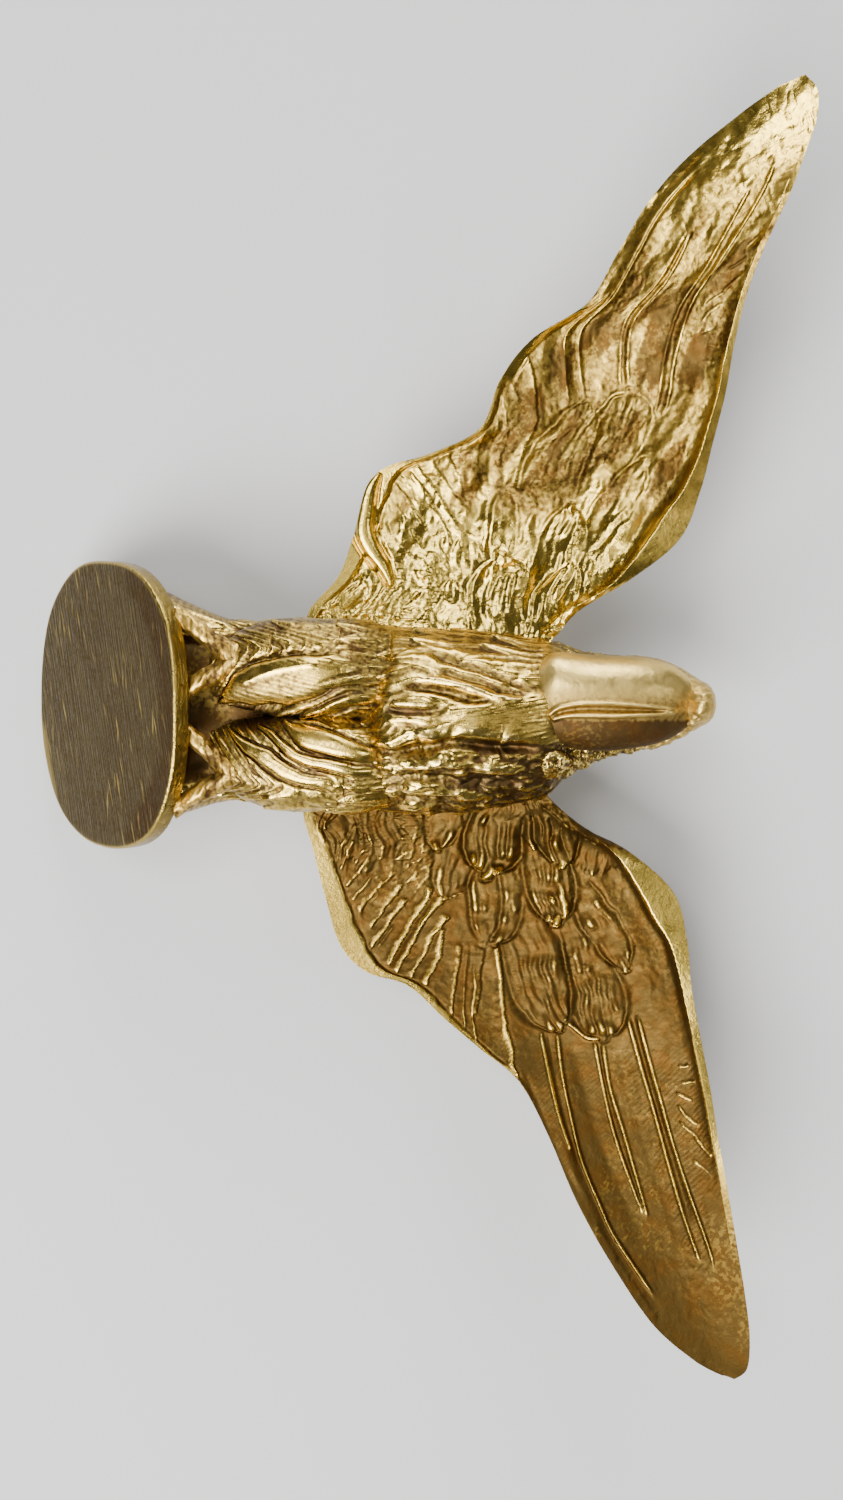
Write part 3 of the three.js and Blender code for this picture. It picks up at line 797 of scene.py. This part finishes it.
def build_head():
    body = Body(HEAD, 2.1)
    plumage(body, 0.35, 0.25, 12, length=4, width=1.2)
    x, y = body.across, body.along
    front = front_of(body)
    bead = dome(np.hypot(x - CHEEK_BEAD[0], y - CHEEK_BEAD[1]) / CHEEK_BEAD[2])
    body.height += front * (1.1 * bead + 0.25 * bead * rough_noise(x, y, 0.6, 15))
    smooth_throat(body, front, 0.3)
    body.height -= front * 1.1 * bell(np.hypot(x - CHIN_PIT[0], y - CHIN_PIT[1]), CHIN_PIT[2])
    rough = smoothstep(x, 0, 4) * smoothstep(y, 58, 61)
    body.height += rough * 0.3 * rough_noise(x, y, 0.55, 14, 2)
    return body.build("head_feathers", 0.35)


def build_lower_beak():
    body = Body(LOWER_BEAK, 2.3)
    x, y = body.across, body.along
    front = smoothstep(body.belly, 6, 8.5)
    rails = [[(-1.0, 58.2), (-2.2, 59.6), (-2.75, 62.5), (-2.8, 66), (-2.5, 70), (-2.1, 74.6)],
             [(-0.6, 58.6), (-1.2, 60.2), (-1.3, 63), (-1.3, 66), (-1.55, 70), (-1.8, 74.6)]]
    for points in rails:
        body.height += front * ridge(x, y, points, 0.3, 0.5, 0.08)
    body.height += front * ridge(x, y, [(-1.2, 58.8), (-2, 62), (-2.05, 67), (-1.95, 73)], 0.32, -0.4, 0.1)
    body.height += 0.015 * rough_noise(body.arc, y, 0.8, 3)
    # Painted shade: the beak is made darker and less polished towards its keel, and most beyond the rails.
    shaded = smoothstep(x, -1.0, -0.4) * front
    dusky = front * smoothstep(x, -6, -2)
    return body.build("lower_beak_shell", 0.4, polish=1 - 0.55 * dusky - 0.45 * shaded,
                      darker=0.3 * dusky + 0.5 * shaded)


def build_upper_beak():
    body = Body(UPPER_BEAK, 2.1)
    x, y = body.across, body.along
    rough = smoothstep(x, -2.5, 0.5) * smoothstep(77.5 - y, 0, 2) + 0.3
    body.height += rough * 0.2 * rough_noise(body.arc, y, 0.7, 23, 2)
    front = front_of(body)
    body.height += front * ridge(x, y, [(-3.6, 77.2), (-1.2, 76.9)], 0.9, 0.5, 0.3)
    return body.build("upper_beak_shell", 0.4, polish=0.6)


def toe_rows(tip):
    """Section rows of one toe, from above the ankle to its tip."""
    rows = [ANKLE_CAP]
    for t, radius in zip(TOE_STEPS, TOE_RADII):
        along, across, belly = [start + (end - start) * t for start, end in zip(ANKLE, tip)]
        belly = belly + TOE_ARCH * math.sin(math.pi * t)
        rows.append([along, across, radius, belly + radius, belly - radius])
    return rows


def build_foot(name, side):
    """Two front toes with ringed skin, joined at the ankle."""
    all_points, all_faces, all_relief = [], [], []
    start = 0
    for tip in TOE_TIPS:
        body = Body(toe_rows(tip), 2, side, steps=90, sides=72)
        rings = np.sqrt(np.abs(np.sin((body.along / SCUTE + 0.25 * np.sin(body.turn)) * np.pi)))
        height = 0.05 * rings + 0.22 * rough_noise(body.arc + 9, body.along, 1.5, 9)
        flat = body.raised(height).reshape(-1, 3)
        all_points.append(flat)
        all_faces.append(outward(flat, ring_faces(*body.along.shape)) + start)
        all_relief.append(np.clip(0.4 + 0.16 * rings + 0.8 * height, 0, 1).ravel())
        start += len(flat)
    relief = np.concatenate(all_relief)
    return mesh_object(name, np.concatenate(all_points), np.concatenate(all_faces), relief, 0 * relief)


def base_levels():
    """Height and reach (1 at the rim) of the plate's rings, from under its middle round to the top."""
    bevel_reach = BASE_BEVEL / (BASE_WIDTH / 2)
    angles = [step / 6 * math.pi / 2 for step in range(7)]
    levels = [(0, reach) for reach in np.linspace(0.002, 0.97, 40)]
    for angle in angles:
        levels.append((BASE_BEVEL * (1 - math.cos(angle)), 1 - bevel_reach * (1 - math.sin(angle))))
    levels += [(height, 1) for height in np.linspace(BASE_BEVEL, BASE_THICK - BASE_BEVEL, 6)[1:]]
    for angle in angles[1:]:
        height = BASE_THICK - BASE_BEVEL * (1 - math.sin(angle))
        levels.append((height, 1 - bevel_reach * (1 - math.cos(angle))))
    levels += [(BASE_THICK, reach) for reach in np.linspace(0.95, 0.002, 24)]
    return np.array(levels)


def build_base():
    """The plate, uneven round its rim, and stained and scuffed towards its edges."""
    sides = 288
    turn = (np.arange(sides) + 0.5) / sides * 2 * np.pi
    cosine = signed_power(np.cos(turn), 2 / BASE_SQUARENESS)
    sine = signed_power(np.sin(turn), 2 / BASE_SQUARENESS)
    height, reach = np.split(base_levels(), 2, 1)
    x = BASE_WIDTH / 2 * reach * cosine
    y = BASE_DEPTH / 2 * reach * sine
    wobble = 1 + 0.004 * np.sin(5 * turn) + 0.003 * np.sin(9 * turn + 1)
    rim = smoothstep(reach, 0.9, 1.0)
    x = x * blended(1, wobble, rim)
    y = y * blended(1, wobble, rim)
    z = height + 0 * x
    points = np.stack([x, y, z], -1) * MM
    flat = points.reshape(-1, 3)
    faces = outward(flat, ring_faces(*points.shape[:2]))
    side_wall = smoothstep(reach, 0.965, 0.99) + 0 * x
    stained = smoothstep(reach, 0.74, 0.9) * smoothstep(-y, 3, 12) * (1 - side_wall) * (z < 1)
    scuffed = smoothstep(reach, 0.8, 0.95) * smoothstep(y, 8, 15) * smoothstep(x, -2, 6) * (z < 1)
    arris = bell(reach - 0.99, 0.008) * (z < BASE_THICK / 2) + 0 * x
    relief = np.clip(0.55 - 0.4 * stained + 0.4 * scuffed + 0.2 * side_wall + 0.5 * arris, 0, 1)
    return mesh_object("base_plate_ground", flat, faces, relief, 0.35 * side_wall)


# ------ materials
def shader_node(material, kind, output, inputs, **settings):
    """Adds a shader node, sets or links its inputs, and returns the named output."""
    tree = material.node_tree
    made = tree.nodes.new("ShaderNode" + kind)
    for name, value in settings.items():
        setattr(made, name, value)
    for name, value in inputs.items():
        if isinstance(value, bpy.types.NodeSocket):
            tree.links.new(value, made.inputs[name])
        else:
            made.inputs[name].default_value = value
    return made.outputs[output]


BUMP_DEPTH = 0.12 * MM


def brass(name, bright, dark, patina, patchy, rough, polish_rough, bump, grain=0.0, wear_and_sheen=(0.88, 0.66, 0.22)):
    """Old brass: rubbed pale on ridges, tarnished brown in hollows and in drifting patches. Painted shade
    carried in the relief attribute turns brown the same way, and painted sheen carried in polish turns pale.

    With grain, it has file marks as well."""
    material = bpy.data.materials.new(name)
    material.use_nodes = True
    links = material.node_tree.links
    shader = material.node_tree.nodes["Principled BSDF"]
    shader.inputs["Metallic"].default_value = 1.0
    place = shader_node(material, "TexCoord", "Object", {})

    def attribute(label):
        return shader_node(material, "Attribute", "Fac", {}, attribute_name=label)

    def noise(scale, detail, vector=place):
        return shader_node(material, "TexNoise", "Fac", {"Vector": vector, "Scale": scale, "Detail": detail})

    def drawn_out(degrees, stretch):
        """The place drawn out one way, so that noise in it makes scratches."""
        inputs = {"Vector": place, "Rotation": (0, 0, math.radians(degrees)), "Scale": (stretch, 1, 1)}
        return shader_node(material, "Mapping", "Vector", inputs, vector_type="TEXTURE")

    def spread(value, low, high, to_low=0.0, to_high=1.0):
        inputs = {"Value": value, "From Min": low, "From Max": high, "To Min": to_low, "To Max": to_high}
        return shader_node(material, "MapRange", "Result", inputs, interpolation_type="SMOOTHSTEP")

    def maths(kind, a, b):
        return shader_node(material, "Math", "Value", {0: a, 1: b}, operation=kind)

    def add(a, b):
        return maths("ADD", a, b)

    def times(a, b):
        return maths("MULTIPLY", a, b)

    def mix(factor, a, b):
        a, b = [(*colour, 1) if isinstance(colour, tuple) else colour for colour in (a, b)]
        return shader_node(material, "Mix", "Result", {"Factor": factor, "A": a, "B": b}, data_type="RGBA")

    relief = attribute("relief")
    polish = attribute("polish")
    patches = spread(noise(110, 5), 0.42, 0.62)
    # Low relief is patina in real hollows, and painted shade where the relief was lowered for it.
    hollow = spread(relief, 0.30, 0.72, 1.0, 0.0)
    tarnish_and_shade = add(times(hollow, 0.85 * patina), times(patches, patchy))
    tarnish_and_shade = add(tarnish_and_shade, spread(noise(1900, 3), 0.4, 0.7, -0.1 * patina, 0.25 * patina))
    tarnish_and_shade = times(tarnish_and_shade, maths("SUBTRACT", 1.0, times(polish, 0.85)))
    rubbed = spread(relief, 0.8, 1.0, 0.0, 0.5)
    surface = add(noise(1500, 5), times(noise(4200, 3), 0.5))
    if grain:
        lengthwise = drawn_out(-16, 18)
        lifted = spread(noise(1500, 3, lengthwise), 0.5, 0.7, 0.0, 0.5)
        tarnish_and_shade = times(tarnish_and_shade, maths("SUBTRACT", 1.0, lifted))
        scratches = maths("MAXIMUM", spread(noise(1500, 3, drawn_out(-20, 12)), 0.60, 0.70, 0.0, 0.8),
                          spread(noise(1100, 3, drawn_out(-4, 10)), 0.63, 0.72, 0.0, 0.8))
        scuffed = spread(noise(70, 3), 0.42, 0.6, 0.1, 0.8)
        rubbed = maths("MAXIMUM", rubbed, times(scratches, scuffed))
        surface = add(surface, times(noise(2600, 4, lengthwise), grain))
    tarnish_and_shade = shader_node(material, "Clamp", "Result", {"Value": tarnish_and_shade})

    warm = tuple(c * f for c, f in zip(bright, (0.9, 0.87, 0.75)))
    metal = mix(spread(noise(260, 4), 0.35, 0.65), bright, warm)
    # Polish turns the metal pale: real wear, and on the right wing painted sheen as well.
    metal = mix(times(polish, 0.7), metal, wear_and_sheen)
    reddish = tuple(c * f for c, f in zip(dark, (1.08, 0.9, 0.75)))
    brown = mix(spread(noise(420, 3), 0.4, 0.66), dark, reddish)
    links.new(mix(rubbed, mix(tarnish_and_shade, metal, brown), wear_and_sheen), shader.inputs["Base Color"])

    gloss = spread(tarnish_and_shade, 0, 1, rough, rough + 0.25)
    gloss = add(gloss, spread(noise(700, 4), 0.3, 0.7, -0.05, 0.07))
    gloss = times(gloss, spread(polish, 0, 1, 1.0, polish_rough / rough))
    links.new(gloss, shader.inputs["Roughness"])

    bumps = {"Strength": bump, "Distance": BUMP_DEPTH, "Height": surface}
    links.new(shader_node(material, "Bump", "Normal", bumps), shader.inputs["Normal"])
    return material


BRASSES = {
    "wing_brass": brass("wing_brass", (0.64, 0.42, 0.075), (0.080, 0.047, 0.012), patina=1.25, patchy=0.2,
                        rough=0.28, polish_rough=0.2, bump=0.4, wear_and_sheen=(0.80, 0.59, 0.115)),
    "cast_brass": brass("cast_brass", (0.79, 0.55, 0.115), (0.078, 0.048, 0.018), patina=1.0, patchy=0.25,
                        rough=0.2, polish_rough=0.14, bump=0.25),
    "polished_brass": brass("polished_brass", (0.72, 0.47, 0.10), (0.080, 0.046, 0.016), patina=1.2,
                            patchy=0.1, rough=0.36, polish_rough=0.36, bump=0.12),
    # ground_brass is coloured far darker than the other brasses: painted shade over the whole plate.
    "ground_brass": brass("ground_brass", (0.092, 0.064, 0.012), (0.046, 0.021, 0.006), patina=0.8,
                          patchy=0.12, rough=0.36, polish_rough=0.14, bump=0.35, grain=4.0,
                          wear_and_sheen=(0.62, 0.43, 0.10)),
}

# ------ assembly
PIECES = [
    (build_base(), "ground_brass", "base_plate"),
    (build_tail(), "cast_brass", "tail"),
    (build_trunk(), "cast_brass", "trunk"),
    (build_head(), "cast_brass", "head"),
    (build_thigh("left_thigh_feathers", 1, 41), "cast_brass", "left_thigh"),
    (build_thigh("right_thigh_feathers", -1, 51), "cast_brass", "right_thigh"),
    (build_wing("left_wing_feathers", LEFT_RIBS, 1), "wing_brass", "left_wing"),
    (build_wing("right_wing_feathers", RIGHT_RIBS, -1), "wing_brass", "right_wing"),
    (build_foot("left_foot_toes", 1), "polished_brass", "left_foot"),
    (build_foot("right_foot_toes", -1), "polished_brass", "right_foot"),
    (build_lower_beak(), "polished_brass", "lower_beak"),
    (build_upper_beak(), "polished_brass", "upper_beak"),
]
for piece, slot, node in PIECES:
    piece.data.materials.append(BRASSES[slot])
    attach(piece, "root")
    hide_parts(node)


# ------ camera
# The camera sees the photograph's view: the bird on its back, its head to the right.
CAMERA_PLACE = Vector((-15.65, -175.94, -99.77)) * MM
CAMERA_HEADING = math.radians(7.94)
CAMERA_RISE = math.radians(41.33)
CAMERA_ROLL = math.radians(86.05)
FLOOR_DISTANCE = 212.6 * MM
FLOOR_REACH = 3.0

forward = Vector((math.sin(CAMERA_HEADING) * math.cos(CAMERA_RISE),
                  math.cos(CAMERA_HEADING) * math.cos(CAMERA_RISE), math.sin(CAMERA_RISE)))
level = forward.cross(Vector((0, 0, 1))).normalized()
upright = level.cross(forward)
right = level * math.cos(CAMERA_ROLL) + upright * math.sin(CAMERA_ROLL)
above = right.cross(forward)
camera_turn = Matrix((right, above, -forward)).transposed()


def facing_matrix(place):
    """A frame at a place, with its X, Y and Z along the camera's right, up and back."""
    return Matrix.Translation(place) @ camera_turn.to_4x4()


camera_data = bpy.data.cameras.new("camera")
camera_data.sensor_width = 36
camera_data.lens = 36
camera_data.clip_start = 0.01
camera = add_object("camera", camera_data)
camera.matrix_world = facing_matrix(CAMERA_PLACE)
bpy.context.scene.camera = camera

# ------ floor and light
# The ornament lies on its back, so the floor is the plane behind it. It is clear from behind.
floor_centre = CAMERA_PLACE + forward * FLOOR_DISTANCE
floor_mesh = bpy.data.meshes.new("floor")
corners = [(x * FLOOR_REACH, y * FLOOR_REACH, 0) for x, y in ((-1, -1), (1, -1), (1, 1), (-1, 1))]
floor_mesh.from_pydata(corners, [], [(0, 1, 2, 3)])
floor = add_object("floor", floor_mesh)
floor.matrix_world = facing_matrix(floor_centre)
floor_material = bpy.data.materials.new("floor")
floor_material.use_nodes = True
floor_nodes = floor_material.node_tree.nodes
floor_shader = floor_nodes["Principled BSDF"]
floor_shader.inputs["Base Color"].default_value = (0.5, 0.5, 0.49, 1)
floor_shader.inputs["Roughness"].default_value = 0.6
behind = shader_node(floor_material, "NewGeometry", "Backfacing", {})
clear = shader_node(floor_material, "BsdfTransparent", "BSDF", {})
one_sided = {"Fac": behind, 1: floor_shader.outputs["BSDF"], 2: clear}
surface = shader_node(floor_material, "MixShader", "Shader", one_sided)
floor_material.node_tree.links.new(surface, floor_nodes["Material Output"].inputs["Surface"])
floor_mesh.materials.append(floor_material)


def soft_light(name, offset, size, power):
    """An area light at an offset along the camera's right, up and back, aimed at the bird."""
    light = bpy.data.lights.new(name, "AREA")
    light.shape = "RECTANGLE"
    light.size, light.size_y = size
    light.energy = power
    lamp = add_object(name, light)
    place = floor_centre + camera_turn @ Vector(offset)
    lamp.location = place
    lamp.rotation_mode = "QUATERNION"
    lamp.rotation_quaternion = (floor_centre - place).to_track_quat("-Z", "Y")


soft_light("key", (-0.38, -0.47, 0.8), (0.66, 0.66), 26.5)
soft_light("top", (0.1, 0.95, 0.36), (0.9, 0.5), 12)
soft_light("right", (0.62, 0.02, 0.72), (0.24, 0.24), 1.5)
soft_light("front", (0.14, -0.05, 1), (0.3, 0.3), 0.4)
soft_light("glint", (-0.22, 0.22, 0.95), (0.3, 0.3), 4.6)
soft_light("rear", (0.3, 0.4, -0.7), (0.6, 0.6), 6)

world = bpy.data.worlds.new("studio")
bpy.context.scene.world = world
world.use_nodes = True
background = world.node_tree.nodes["Background"]
background.inputs["Color"].default_value = (0.8, 0.8, 0.8, 1)
background.inputs["Strength"].default_value = 0.12
